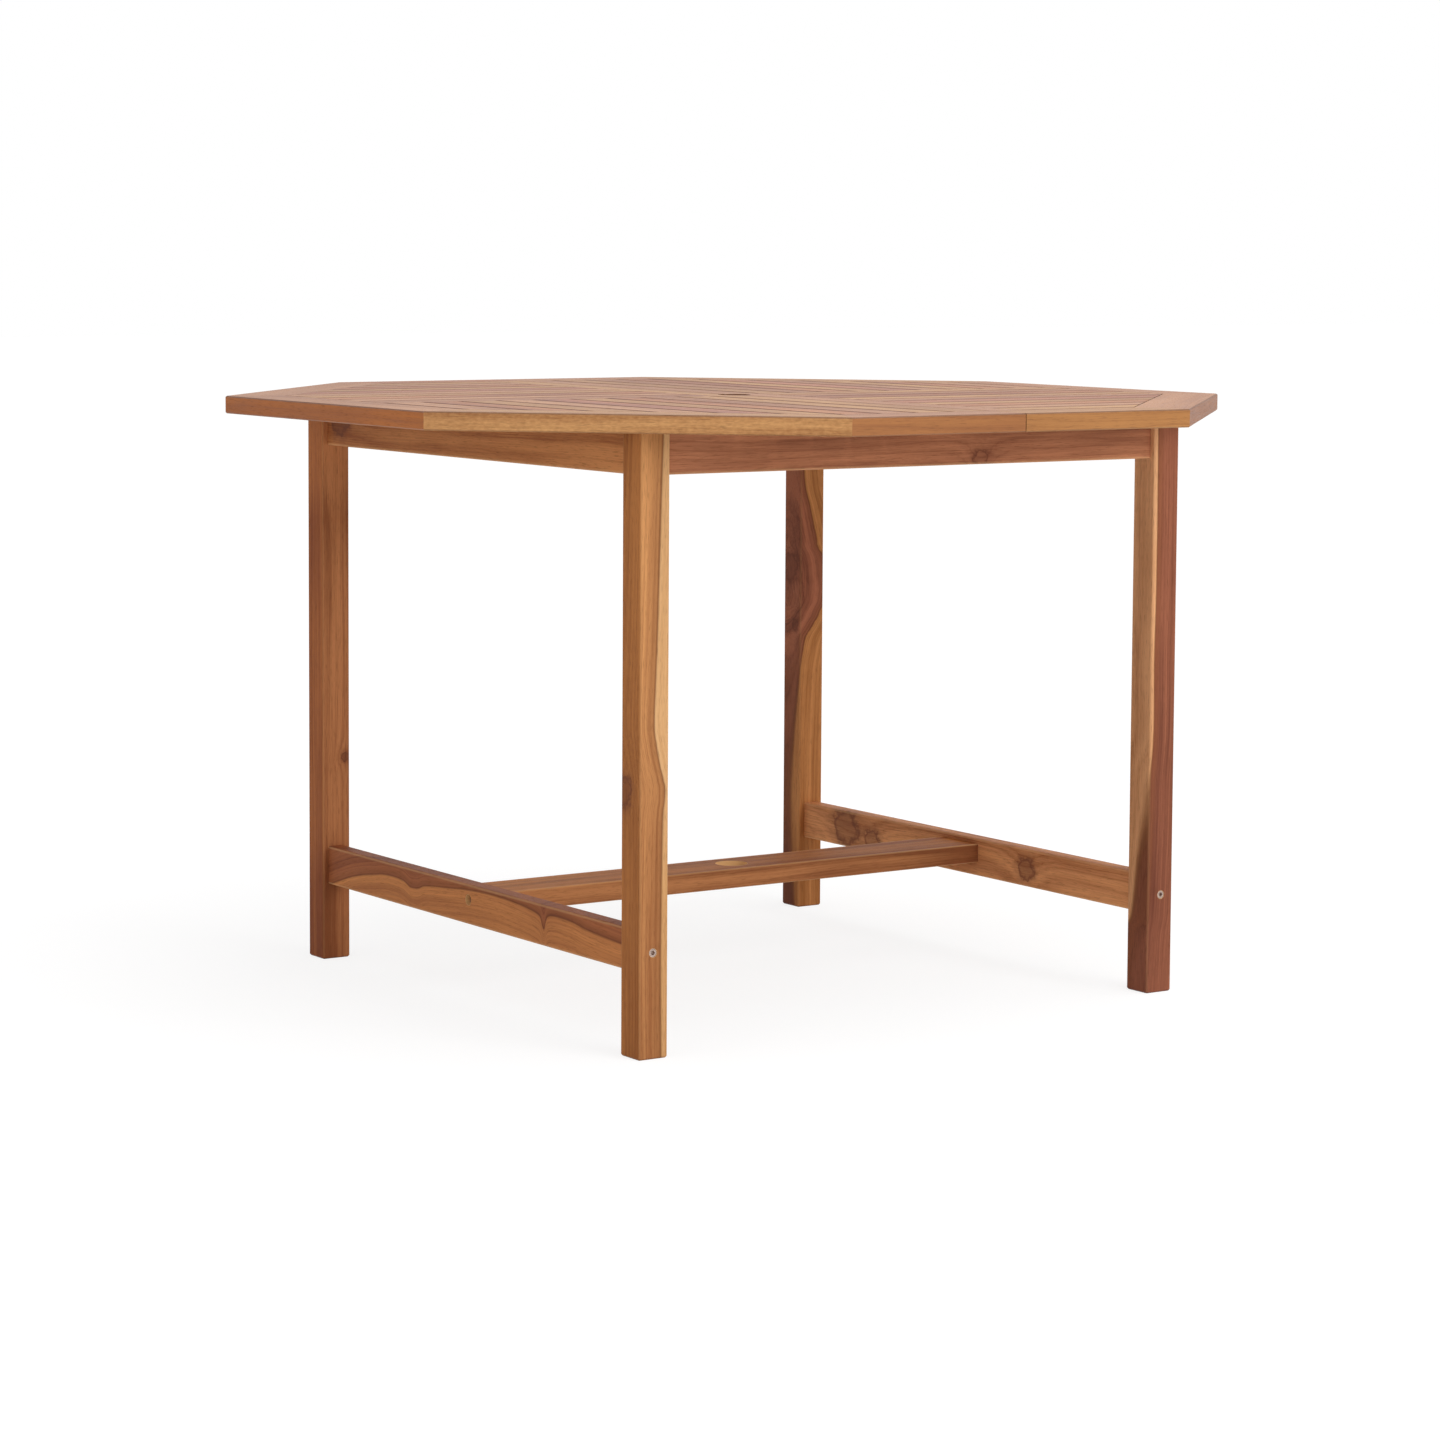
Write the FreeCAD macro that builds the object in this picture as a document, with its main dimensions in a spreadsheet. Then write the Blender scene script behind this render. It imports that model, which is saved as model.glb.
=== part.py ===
import FreeCAD
import Part
import Sketcher
import math
import os
import re

# Octagonal slatted garden table: two half-octagon leaves on four square legs,
# with aprons under the top and an H of lower rails. Millimetres, +Z up.
# Origin: the floor point under the middle of the table. The centre stretcher
# runs along X, left is -X and front is -Y.

# Driving sizes
SIZES = {
    # Overall
    "table_height": 750,
    "top_across": 1200,
    "top_thickness": 22,
    "leg_spread": 805,
    # Top boards
    "rim_width": 70,
    "stile_width": 50,
    "cross_rail_width": 50,
    "seam_gap": 1,
    "slat_gap": 5,
    "tongue_length": 8,
    "tongue_thickness": 8,
    "tongue_play": 0.2,
    "groove_spare": 1,
    "arris": 1.5,
    "umbrella_hole": 42,
    "batten_width": 45,
    "batten_thickness": 20,
    "batten_spread": 350,
    # Legs and rails
    "leg_size": 40,
    "leg_round": 3,
    "foot_chamfer": 2,
    "rail_recess": 8,
    "apron_height": 50,
    "apron_thickness": 22,
    "rail_height": 50,
    "rail_thickness": 22,
    "rail_clearance": 100,
    "stretcher_width": 80,
    "stretcher_thickness": 25,
    "stretcher_lift": 18,
    "board_round": 2,
    "block_reach": 60,
    "block_height": 44,
    "block_nose": 5,
    # Bolts, nuts, dowels and screws
    "fit_gap": 0.3,
    "head_sink": 0.5,
    "nut_setback": 30,
    "bolt_tip": 4,
    "bolt_size": 6,
    "bolt_head": 10,
    "bolt_head_height": 6,
    "bolt_key": 5,
    "bolt_nut_size": 10,
    "bolt_nut_length": 18,
    "tie_size": 8,
    "tie_head": 13,
    "tie_head_height": 6,
    "tie_head_sink": 6,
    "tie_key": 6,
    "tie_nut_size": 12,
    "tie_nut_length": 16,
    "dowel_size": 8,
    "dowel_depth": 12,
    "dowel_lift": 15,
    "tie_dowel_spread": 50,
    "rod_size": 8,
    "rod_bite": 26,
    "rod_nut_across": 13,
    "rod_nut_height": 6.5,
    "washer_size": 20,
    "washer_thickness": 1.6,
    "screw_size": 4.5,
    "screw_head": 9,
    "screw_head_height": 2.5,
    "screw_grip": 16,
    "screw_bite": 16,
}

# Slats that run each way in one quarter of the top
SLATS_PER_QUARTER = 9

# Lengths that follow from the sizes, as formulas for the sheet
SIDE_RATIO = "tan(22.5 deg)"
UNDERSIDE = "(table_height - top_thickness)"
MID_TOP = "(table_height - top_thickness / 2)"
RIM_OUTER = "(top_across / 2)"
RIM_INNER = "(top_across / 2 - rim_width)"
STILE_EDGE = "(seam_gap / 2 + stile_width)"
STILE_MID = "(seam_gap / 2 + stile_width / 2)"
BATTEN_MID = "(batten_spread / 2)"
CROSS_EDGE = "(cross_rail_width / 2)"
GROOVE_DEPTH = "(tongue_length + groove_spare)"
GROOVE_HALF = "(tongue_thickness / 2 + tongue_play)"
LEG_INNER = "(leg_spread / 2 - leg_size)"
LEG_CENTRE = "(leg_spread / 2 - leg_size / 2)"
BETWEEN_LEGS = "(leg_spread - 2 * leg_size)"
APRON_INNER = "(leg_spread / 2 - rail_recess - apron_thickness)"
APRON_CENTRE = "(leg_spread / 2 - rail_recess - apron_thickness / 2)"
RAIL_OUTER = "(leg_spread / 2 - rail_recess)"
RAIL_CENTRE = "(leg_spread / 2 - rail_recess - rail_thickness / 2)"
RAIL_INNER = "(leg_spread / 2 - rail_recess - rail_thickness)"
RAIL_MID = "(rail_clearance + rail_height / 2)"
RAIL_DOWEL_LEVEL = f"({RAIL_MID} + dowel_lift)"
STRETCHER_MID = "(rail_clearance + stretcher_lift + stretcher_thickness / 2)"
BOLT_SEAT = "(bolt_head_height + head_sink)"
TIE_SEAT = "(tie_head_height + tie_head_sink)"
SCREW_LENGTH = "(screw_grip + screw_bite)"
BLOCK_FACE = f"min({LEG_INNER}; {APRON_INNER} - block_nose)"
BLOCK_BACK = f"({BLOCK_FACE} - block_reach / 2)"
BLOCK_DEPTH = "(block_reach / sqrt(2))"
BLOCK_MID = f"({UNDERSIDE} - block_height / 2)"
ROD_TAIL = "(washer_thickness + rod_nut_height + bolt_tip)"

# How far a drill starts outside the face that it enters
DRILL_RUN = 1
CIRCLE_GUESS = 10.0
# Round bars and holes that no one sees have this many flat sides, which keeps the mesh light
HIDDEN_SIDES = 8
# The most by which an edge may miss a direction or a level that it is tested for
TINY = 0.001

X_AXIS = FreeCAD.Vector(1, 0, 0)
Y_AXIS = FreeCAD.Vector(0, 1, 0)
Z_AXIS = FreeCAD.Vector(0, 0, 1)

SIDE_NAMES = {-1: "left", 1: "right"}
DEPTH_NAMES = {-1: "front", 1: "back"}
CORNERS = [(-1, -1), (1, -1), (-1, 1), (1, 1)]

doc = FreeCAD.newDocument("garden_table")
sheet = doc.addObject("Spreadsheet::Sheet", "Sizes")
for row, (alias, number) in enumerate(SIZES.items(), start=1):
    sheet.set(f"A{row}", alias)
    sheet.set(f"B{row}", str(number))
    sheet.setAlias(f"B{row}", alias)
doc.recompute()

WORDS = re.compile(r"\b(" + "|".join(SIZES) + r")\b")
nodes = {}


def sized(formula):
    """Write a formula of size names in the sheet's notation."""
    return WORDS.sub(r"Sizes.\1", formula)


def bind(item, **formulas):
    """Tie properties of an object to formulas."""
    for name, formula in formulas.items():
        item.setExpression(name, sized(formula))


def place(item, position, turn=None):
    """Put an object at a position of formulas, with a fixed rotation."""
    if turn is not None:
        item.Placement = FreeCAD.Placement(FreeCAD.Vector(), turn)
    for axis, formula in zip("xyz", position):
        item.setExpression(f"Placement.Base.{axis}", sized(formula))


def about_z(degrees):
    return FreeCAD.Rotation(Z_AXIS, degrees)


def pointing(direction):
    """Rotation that turns +Z towards a direction."""
    return FreeCAD.Rotation(Z_AXIS, direction)


def keep(name, item):
    """Label an object as a sub-part and keep it for the export."""
    item.Label = name
    nodes[name] = item
    return item


# Sketches and features

def new_body(name):
    return doc.addObject("PartDesign::Body", name + "_body")


def sketch_on(body, role, offset="0"):
    """Sketch on one of the body's own origin planes, moved along its normal."""
    plane = next(p for p in body.Origin.OriginFeatures if p.Role == role)
    sketch = body.newObject("Sketcher::SketchObject", body.Name + "_sketch")
    sketch.AttachmentSupport = [(plane, "")]
    sketch.MapMode = "FlatFace"
    sketch.setExpression("AttachmentOffset.Base.z", sized(offset))
    return sketch


def pin_point(sketch, curve, point, where, corner):
    """Hold one sketch point at a pair of formulas from the origin."""
    for kind, start, formula in zip(("DistanceX", "DistanceY"), where, corner):
        constraint = Sketcher.Constraint(kind, -1, 1, curve, point, start)
        index = sketch.addConstraint(constraint)
        sketch.setExpression(f"Constraints[{index}]", sized(formula))


def outline(sketch, corners):
    """Draw a closed polygon through corners given as pairs of formulas."""
    count = len(corners)
    step = 2 * math.pi / count
    guess = [FreeCAD.Vector(math.cos(i * step), math.sin(i * step), 0) * CIRCLE_GUESS
             for i in range(count)]
    for i in range(count):
        sketch.addGeometry(Part.LineSegment(guess[i], guess[(i + 1) % count]), False)
    for i in range(count):
        sketch.addConstraint(Sketcher.Constraint("Coincident", i, 2, (i + 1) % count, 1))
    for i, corner in enumerate(corners):
        pin_point(sketch, i, 1, (guess[i].x, guess[i].y), corner)


def rectangle(sketch, low, high):
    outline(sketch, [low, (high[0], low[1]), high, (low[0], high[1])])


def pad(body, sketch, length, symmetric=False, backwards=False):
    feature = body.newObject("PartDesign::Pad", body.Name + "_pad")
    feature.Profile = sketch
    feature.SideType = "Symmetric" if symmetric else "One side"
    feature.Reversed = backwards
    bind(feature, Length=length)
    doc.recompute()
    return feature


def must_shrink(body, before, what):
    """A cut that removed nothing is an error."""
    if body.Shape.Volume > before - 1e-6:
        raise RuntimeError(f"{body.Name}: {what} cut nothing")


def cut_up(body, sketch):
    """Cut a sketch on the floor plane up through the whole body."""
    before = body.Shape.Volume
    feature = body.newObject("PartDesign::Pocket", body.Name + "_cut")
    feature.Profile = sketch
    feature.Type = "ThroughAll"
    feature.Reversed = True
    doc.recompute()
    must_shrink(body, before, "pocket")


def drill(body, diameter, depth, mouth, direction, hidden=False):
    """Drill a hole from its mouth into the wood, round where it is seen."""
    before = body.Shape.Volume
    if hidden:
        tool = body.newObject("PartDesign::SubtractivePrism", body.Name + "_drill")
        tool.Polygon = HIDDEN_SIDES
        bind(tool, Circumradius=f"({diameter}) / 2")
    else:
        tool = body.newObject("PartDesign::SubtractiveCylinder", body.Name + "_drill")
        bind(tool, Radius=f"({diameter}) / 2")
    bind(tool, Height=f"{depth} + {DRILL_RUN}")
    start = [f"{formula} - ({step * DRILL_RUN})" for formula, step in zip(mouth, direction)]
    place(tool, start, pointing(direction))
    doc.recompute()
    must_shrink(body, before, "drill")


def edge_names(feature, wanted):
    """Names of the feature's straight edges that a test of direction and middle accepts."""
    names = []
    for index, edge in enumerate(feature.Shape.Edges, start=1):
        if edge.Curve.TypeId == "Part::GeomLine":
            if wanted(edge.tangentAt(edge.FirstParameter), edge.CenterOfMass):
                names.append(f"Edge{index}")
    return names


def soften(body, kind, feature, names, **sizes):
    """Round or chamfer some edges of a body's last feature."""
    edge_work = body.newObject("PartDesign::" + kind, body.Name + "_edges")
    edge_work.Base = (feature, names)
    bind(edge_work, **sizes)
    doc.recompute()
    return edge_work


def along(axis):
    return lambda tangent, middle: tangent.cross(axis).Length < TINY


# Legs, aprons, rails and corner blocks

def make_leg(side, depth):
    """Square leg, with its bolt, dowel and hanger holes."""
    body = new_body(f"leg_{DEPTH_NAMES[depth]}_{SIDE_NAMES[side]}")
    section = sketch_on(body, "XY_Plane")
    rectangle(section, ("-leg_size / 2", "-leg_size / 2"), ("leg_size / 2", "leg_size / 2"))
    post = pad(body, section, UNDERSIDE)
    rounded = soften(body, "Fillet", post, edge_names(post, along(Z_AXIS)), Radius="leg_round")
    foot = [f"Edge{i}" for i, edge in enumerate(rounded.Shape.Edges, start=1)
            if edge.BoundBox.ZMax < TINY]
    soften(body, "Chamfer", rounded, foot, Size="min(foot_chamfer; 0.8 * leg_round)")
    inward = FreeCAD.Vector(0, -depth, 0)
    bolt_x = f"{side} * ({RAIL_CENTRE} - {LEG_CENTRE})"
    outer = (bolt_x, f"{depth} * leg_size / 2", RAIL_MID)
    drill(body, "bolt_head + 2 * fit_gap", BOLT_SEAT, outer, inward)
    drill(body, "bolt_size + 2 * fit_gap", "leg_size", outer, inward, hidden=True)
    inner = (bolt_x, f"{-depth} * leg_size / 2", RAIL_DOWEL_LEVEL)
    drill(body, "dowel_size + 2 * fit_gap", "dowel_depth + fit_gap", inner, -inward, hidden=True)
    corner = (f"{-side} * leg_size / 2", f"{-depth} * leg_size / 2", BLOCK_MID)
    outward = FreeCAD.Vector(side, depth, 0).normalize()
    drill(body, "rod_size + 2 * fit_gap", "rod_bite + fit_gap", corner, outward, hidden=True)
    place(body, (f"{side} * {LEG_CENTRE}", f"{depth} * {LEG_CENTRE}", "0"))
    keep(f"leg_{DEPTH_NAMES[depth]}_{SIDE_NAMES[side]}", body)


def long_board(name, low, high, length, rounded_edges):
    """Board along X about the middle, from its YZ section, with some long edges rounded."""
    body = new_body(name)
    section = sketch_on(body, "YZ_Plane")
    rectangle(section, low, high)
    blank = pad(body, section, length, symmetric=True)
    soften(body, "Fillet", blank, edge_names(blank, rounded_edges), Radius="board_round")
    return body


def make_apron(name, degrees, screw_places):
    """Apron between two legs, screwed up into the top."""
    low = (f"-({APRON_INNER} + apron_thickness)", f"{UNDERSIDE} - apron_height")
    middle = SIZES["table_height"] - SIZES["top_thickness"] - SIZES["apron_height"] / 2

    def lower_edges(tangent, centre):
        return tangent.cross(X_AXIS).Length < TINY and centre.z < middle

    body = long_board(name, low, (f"-{APRON_INNER}", UNDERSIDE), BETWEEN_LEGS, lower_edges)
    for x in screw_places:
        mouth = (x, f"-{APRON_CENTRE}", f"{UNDERSIDE} - apron_height")
        drill(body, "screw_head + 2 * fit_gap", "apron_height - screw_grip", mouth, Z_AXIS)
        drill(body, "screw_size + 2 * fit_gap", "apron_height", mouth, Z_AXIS, hidden=True)
    place(body, ("0", "0", "0"), about_z(degrees))
    keep(name, body)


def make_end_rail(name, degrees):
    """Lower rail between two legs, drilled for the leg bolts and the stretcher."""
    low = (f"-{RAIL_OUTER}", "rail_clearance")
    high = (f"-{RAIL_INNER}", "rail_clearance + rail_height")
    body = long_board(name, low, high, BETWEEN_LEGS, along(X_AXIS))
    centre = f"-{RAIL_CENTRE}"
    for end in (-1, 1):
        inward = FreeCAD.Vector(-end, 0, 0)
        face = f"{end} * {LEG_INNER}"
        drill(body, "bolt_size + 2 * fit_gap", "nut_setback", (face, centre, RAIL_MID), inward, hidden=True)
        drill(body, "dowel_size + 2 * fit_gap", "dowel_depth + fit_gap",
              (face, centre, RAIL_DOWEL_LEVEL), inward, hidden=True)
        nut = (f"{end} * ({LEG_INNER} - nut_setback)", centre, "rail_clearance")
        drill(body, "bolt_nut_size + 2 * fit_gap",
              "rail_height / 2 + bolt_nut_length / 2 + fit_gap", nut, Z_AXIS, hidden=True)
        drill(body, "dowel_size + 2 * fit_gap", "dowel_depth + fit_gap",
              (f"{end} * tie_dowel_spread / 2", f"-{RAIL_INNER}", STRETCHER_MID), -Y_AXIS, hidden=True)
    outer = ("0", f"-{RAIL_OUTER}", STRETCHER_MID)
    drill(body, "tie_head + 2 * fit_gap", TIE_SEAT, outer, Y_AXIS)
    drill(body, "tie_size + 2 * fit_gap", "rail_thickness", outer, Y_AXIS, hidden=True)
    place(body, ("0", "0", "0"), about_z(degrees))
    keep(name, body)


def make_stretcher():
    """Flat board that ties the end rails and steadies the umbrella pole."""
    low = ("-stretcher_width / 2", "rail_clearance + stretcher_lift")
    high = ("stretcher_width / 2", "rail_clearance + stretcher_lift + stretcher_thickness")
    body = long_board("centre_stretcher", low, high, f"2 * {RAIL_INNER}", along(X_AXIS))
    for end in (-1, 1):
        inward = FreeCAD.Vector(-end, 0, 0)
        face = f"{end} * {RAIL_INNER}"
        drill(body, "tie_size + 2 * fit_gap", "nut_setback",
              (face, "0", STRETCHER_MID), inward, hidden=True)
        for across in (-1, 1):
            drill(body, "dowel_size + 2 * fit_gap", "dowel_depth + fit_gap",
                  (face, f"{across} * tie_dowel_spread / 2", STRETCHER_MID), inward, hidden=True)
        nut = (f"{end} * ({RAIL_INNER} - nut_setback)", "0", "rail_clearance + stretcher_lift")
        drill(body, "tie_nut_size + 2 * fit_gap",
              "stretcher_thickness / 2 + tie_nut_length / 2 + fit_gap", nut, Z_AXIS, hidden=True)
    drill(body, "umbrella_hole", "stretcher_thickness + 1",
          ("0", "0", "rail_clearance + stretcher_lift"), Z_AXIS)
    keep("centre_stretcher", body)


def make_corner_block(side, depth):
    """Block glued between two aprons, with the hanger rod's hole to the leg."""
    name = f"corner_block_{DEPTH_NAMES[depth]}_{SIDE_NAMES[side]}"
    body = new_body(name)
    plan = sketch_on(body, "XY_Plane", f"{UNDERSIDE} - block_height")
    wall = APRON_INNER
    near = f"(2 * {BLOCK_FACE} - {APRON_INNER})"
    far = f"({near} - block_reach)"
    corners = [(wall, near), (near, wall), (far, wall), (wall, far)]
    outline(plan, [(f"{side} * {x}", f"{depth} * {y}") for x, y in corners])
    pad(body, plan, "block_height")
    mouth = (f"{side} * {BLOCK_BACK}", f"{depth} * {BLOCK_BACK}", BLOCK_MID)
    outward = FreeCAD.Vector(side, depth, 0).normalize()
    drill(body, "rod_size + 2 * fit_gap", f"{BLOCK_DEPTH} + 1", mouth, outward, hidden=True)
    keep(name, body)


# Top boards

def grooved_section(outer, inner, outer_arris=True):
    """Section of a board whose inner edge has a groove; outer lies below inner."""
    low, high = UNDERSIDE, "table_height"
    deep = f"{inner} - {GROOVE_DEPTH}"
    corners = [
        (inner, low),
        (inner, f"{MID_TOP} - {GROOVE_HALF}"),
        (deep, f"{MID_TOP} - {GROOVE_HALF}"),
        (deep, f"{MID_TOP} + {GROOVE_HALF}"),
        (inner, f"{MID_TOP} + {GROOVE_HALF}"),
        (inner, f"{high} - arris"),
        (f"{inner} - arris", high),
        (f"{outer} + arris", high),
        (outer, f"{high} - arris"),
    ]
    if outer_arris:
        corners += [(outer, f"{low} + arris"), (f"{outer} + arris", low)]
    else:
        corners += [(outer, low)]
    return corners


def make_rim_board(name, degrees, half=0):
    """Mitred edge board of the front side, turned to its own side; half is -1 or 1."""
    body = new_body(name)
    start = f"{half} * seam_gap / 2"
    section = sketch_on(body, "YZ_Plane", start)
    outline(section, grooved_section(f"-{RIM_OUTER}", f"-{RIM_INNER}"))
    reach = f"({RIM_OUTER} * {SIDE_RATIO})"
    if half:
        pad(body, section, f"{reach} - seam_gap / 2", backwards=half < 0)
    else:
        pad(body, section, f"2 * {reach}", symmetric=True)
    over = f"({RIM_OUTER} + arris)"
    under = f"({RIM_INNER} - arris)"
    for end in ([half] if half else [-1, 1]):
        mitre = sketch_on(body, "XY_Plane")
        outline(mitre, [
            (f"{end} * {over} * {SIDE_RATIO}", f"-{over}"),
            (f"{end} * {under} * {SIDE_RATIO}", f"-{under}"),
            (f"{end} * {over} * {SIDE_RATIO}", f"-{under}"),
        ])
        cut_up(body, mitre)
    place(body, ("0", "0", "0"), about_z(degrees))
    keep(name, body)


def pilot(body, x, y):
    """Pilot hole for a screw that comes up from below."""
    drill(body, "screw_size + 2 * fit_gap", "screw_bite + fit_gap", (x, y, UNDERSIDE), Z_AXIS, hidden=True)


def make_stile(name, degrees):
    """Long board beside the seam; its edge holds half of the umbrella hole."""
    body = new_body(name)
    section = sketch_on(body, "XZ_Plane")
    outline(section, grooved_section("seam_gap / 2", STILE_EDGE))
    pad(body, section, f"2 * {RIM_INNER}", symmetric=True)
    tongue = sketch_on(body, "XZ_Plane")
    rectangle(tongue, ("seam_gap / 2", f"{MID_TOP} - tongue_thickness / 2"),
              (f"{STILE_EDGE} - {GROOVE_DEPTH}", f"{MID_TOP} + tongue_thickness / 2"))
    pad(body, tongue, f"2 * ({RIM_INNER} + tongue_length)", symmetric=True)
    drill(body, "umbrella_hole", "top_thickness + 1", ("0", "0", UNDERSIDE), Z_AXIS)
    for y in (APRON_CENTRE, BATTEN_MID):
        pilot(body, STILE_MID, y)
        pilot(body, STILE_MID, f"-{y}")
    place(body, ("0", "0", "0"), about_z(degrees))
    keep(name, body)


def make_cross_rail(name, degrees):
    """Board from the stile to the rim, between the two quarters of one leaf."""
    body = new_body(name)
    section = sketch_on(body, "YZ_Plane", STILE_EDGE)
    outline(section, grooved_section(f"-{CROSS_EDGE}", CROSS_EDGE))
    pad(body, section, f"{RIM_INNER} - {STILE_EDGE}")
    tongue = sketch_on(body, "YZ_Plane", f"{STILE_EDGE} - tongue_length")
    rectangle(tongue, (f"-{CROSS_EDGE}", f"{MID_TOP} - tongue_thickness / 2"),
              (f"{CROSS_EDGE} - {GROOVE_DEPTH}", f"{MID_TOP} + tongue_thickness / 2"))
    pad(body, tongue, f"{RIM_INNER} - {STILE_EDGE} + 2 * tongue_length")
    pilot(body, APRON_CENTRE, "0")
    place(body, ("0", "0", "0"), about_z(degrees))
    keep(name, body)


def quarter_field(name, start_x, start_y, side):
    """Room for the slats of one quarter, with the grooves' room for their tongues."""
    body = new_body(name)
    layers = [(UNDERSIDE, "top_thickness", "0"),
              (f"{MID_TOP} - tongue_thickness / 2", "tongue_thickness", "tongue_length")]
    for level, thickness, grow in layers:
        edge = f"({RIM_INNER} + {grow})"
        bend = f"({edge} * {SIDE_RATIO})"
        x = f"({start_x} - {grow})" if start_x != "0" else "0"
        y = f"({start_y} - {grow})" if start_y != "0" else "0"
        plan = sketch_on(body, "XY_Plane", level)
        corners = [(x, y), (edge, y), (edge, bend), (bend, edge), (x, edge)]
        outline(plan, [(px, f"{side} * {py}") for px, py in corners])
        pad(body, plan, thickness)
    return body


def slat_blank(name, plane, low, high):
    """Slat with softened top edges, longer than it will be."""
    body = new_body(name)
    section = sketch_on(body, plane)
    outline(section, [
        (low, UNDERSIDE), (high, UNDERSIDE),
        (high, "table_height - arris"), (f"{high} - arris", "table_height"),
        (f"{low} + arris", "table_height"), (low, "table_height - arris"),
    ])
    # The XZ plane faces -Y, so its slats are padded backwards, towards +Y
    pad(body, section, RIM_OUTER, backwards=plane == "XZ_Plane")
    return body


def make_slats(kind, plane, side, first_edge, field):
    """Slats of one quarter, each with its twin in the other leaf."""
    count = SLATS_PER_QUARTER
    width = f"(({RIM_INNER} - {first_edge} - {count + 1} * slat_gap) / {count})"
    for number in range(count):
        near = f"({first_edge} + slat_gap + {number} * ({width} + slat_gap))"
        far = f"({near} + {width})"
        low, high = (near, far) if side > 0 else (f"-{far}", f"-{near}")
        name = f"{kind}_{number + 1}"
        slat = doc.addObject("Part::Common", name + "_cut")
        slat.Base = slat_blank(name, plane, low, high)
        slat.Tool = field
        twin = doc.addObject("App::Link", name + "_twin")
        twin.LinkedObject = slat
        twin.Placement = FreeCAD.Placement(FreeCAD.Vector(), about_z(180))
        pair = doc.addObject("Part::Compound", name)
        pair.Links = [slat, twin]
        keep(name, pair)


def make_batten(name, side):
    """Batten across the seam, under the slats."""
    body = new_body(name)
    section = sketch_on(body, "YZ_Plane")
    rectangle(section, (f"{side} * {BATTEN_MID} - batten_width / 2", f"{UNDERSIDE} - batten_thickness"),
              (f"{side} * {BATTEN_MID} + batten_width / 2", UNDERSIDE))
    pad(body, section, f"2 * {APRON_INNER}", symmetric=True)
    for end in (-1, 1):
        mouth = (f"{end} * {STILE_MID}", f"{side} * {BATTEN_MID}", f"{UNDERSIDE} - batten_thickness")
        drill(body, "screw_head + 2 * fit_gap", "batten_thickness - screw_grip", mouth, Z_AXIS)
        drill(body, "screw_size + 2 * fit_gap", "batten_thickness", mouth, Z_AXIS, hidden=True)
    keep(name, body)


# Fasteners, each modelled once along +Z and repeated by links

def round_bar(diameter, length, start="0"):
    bar = doc.addObject("Part::Cylinder", "bar")
    bind(bar, Radius=f"({diameter}) / 2", Height=length)
    place(bar, ("0", "0", start))
    return bar


def hidden_bar(diameter, length, start="0"):
    """Bar with the flat sides of a hidden hole."""
    bar = doc.addObject("Part::Prism", "hidden_bar")
    bar.Polygon = HIDDEN_SIDES
    bind(bar, Circumradius=f"({diameter}) / 2", Height=length)
    place(bar, ("0", "0", start))
    return bar


def combine(kind, base, tool):
    result = doc.addObject("Part::" + kind, "joined")
    result.Base = base
    result.Tool = tool
    return result


def socket_bolt(size, length, head, head_height, key):
    """Bolt with its head below the origin and its shank along +Z."""
    bolt = combine("Fuse", hidden_bar(size, length), round_bar(head, head_height, f"-{head_height}"))
    socket = doc.addObject("Part::Prism", "socket")
    socket.Polygon = 6
    bind(socket, Circumradius=f"{key} / sqrt(3)", Height=f"{head_height} / 2 + 1")
    place(socket, ("0", "0", f"-{head_height} - 1"))
    return combine("Cut", bolt, socket)


def wood_screw():
    """Screw with its head below the origin and its shank along +Z."""
    head = hidden_bar("screw_head", "screw_head_height", "-screw_head_height")
    return combine("Fuse", hidden_bar("screw_size", SCREW_LENGTH), head)


def barrel_nut(size, length, hole):
    """Upright barrel with a cross hole along X, about its own middle."""
    bore = hidden_bar(f"{hole} + 2 * fit_gap", f"2 * {size}")
    place(bore, (f"-{size}", "0", "0"), pointing(X_AXIS))
    return combine("Cut", hidden_bar(size, length, f"-{length} / 2"), bore)


def group(name, master, places):
    """One node of equal fasteners, one at each place."""
    links = []
    for position, turn in places:
        link = doc.addObject("App::Link", name + "_item")
        link.LinkedObject = master
        place(link, position, turn)
        links.append(link)
    compound = doc.addObject("Part::Compound", name)
    compound.Links = links
    keep(name, compound)


def make_rail_fasteners():
    """Bolts, barrel nuts and dowels between the legs and the end rails."""
    length = f"(leg_size - {BOLT_SEAT} + nut_setback + bolt_tip)"
    bolts, nuts, dowels = [], [], []
    for side, depth in CORNERS:
        x = f"{side} * {RAIL_CENTRE}"
        inward = FreeCAD.Vector(0, -depth, 0)
        bolts.append(((x, f"{depth} * (leg_spread / 2 - {BOLT_SEAT})", RAIL_MID), pointing(inward)))
        nuts.append(((x, f"{depth} * ({LEG_INNER} - nut_setback)", RAIL_MID), about_z(90)))
        start = (x, f"{depth} * ({LEG_INNER} + dowel_depth)", RAIL_DOWEL_LEVEL)
        dowels.append((start, pointing(inward)))
    group("rail_bolts", socket_bolt("bolt_size", length, "bolt_head", "bolt_head_height", "bolt_key"), bolts)
    group("rail_barrel_nuts", barrel_nut("bolt_nut_size", "bolt_nut_length", "bolt_size"), nuts)
    group("rail_dowels", hidden_bar("dowel_size", "2 * dowel_depth"), dowels)


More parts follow.
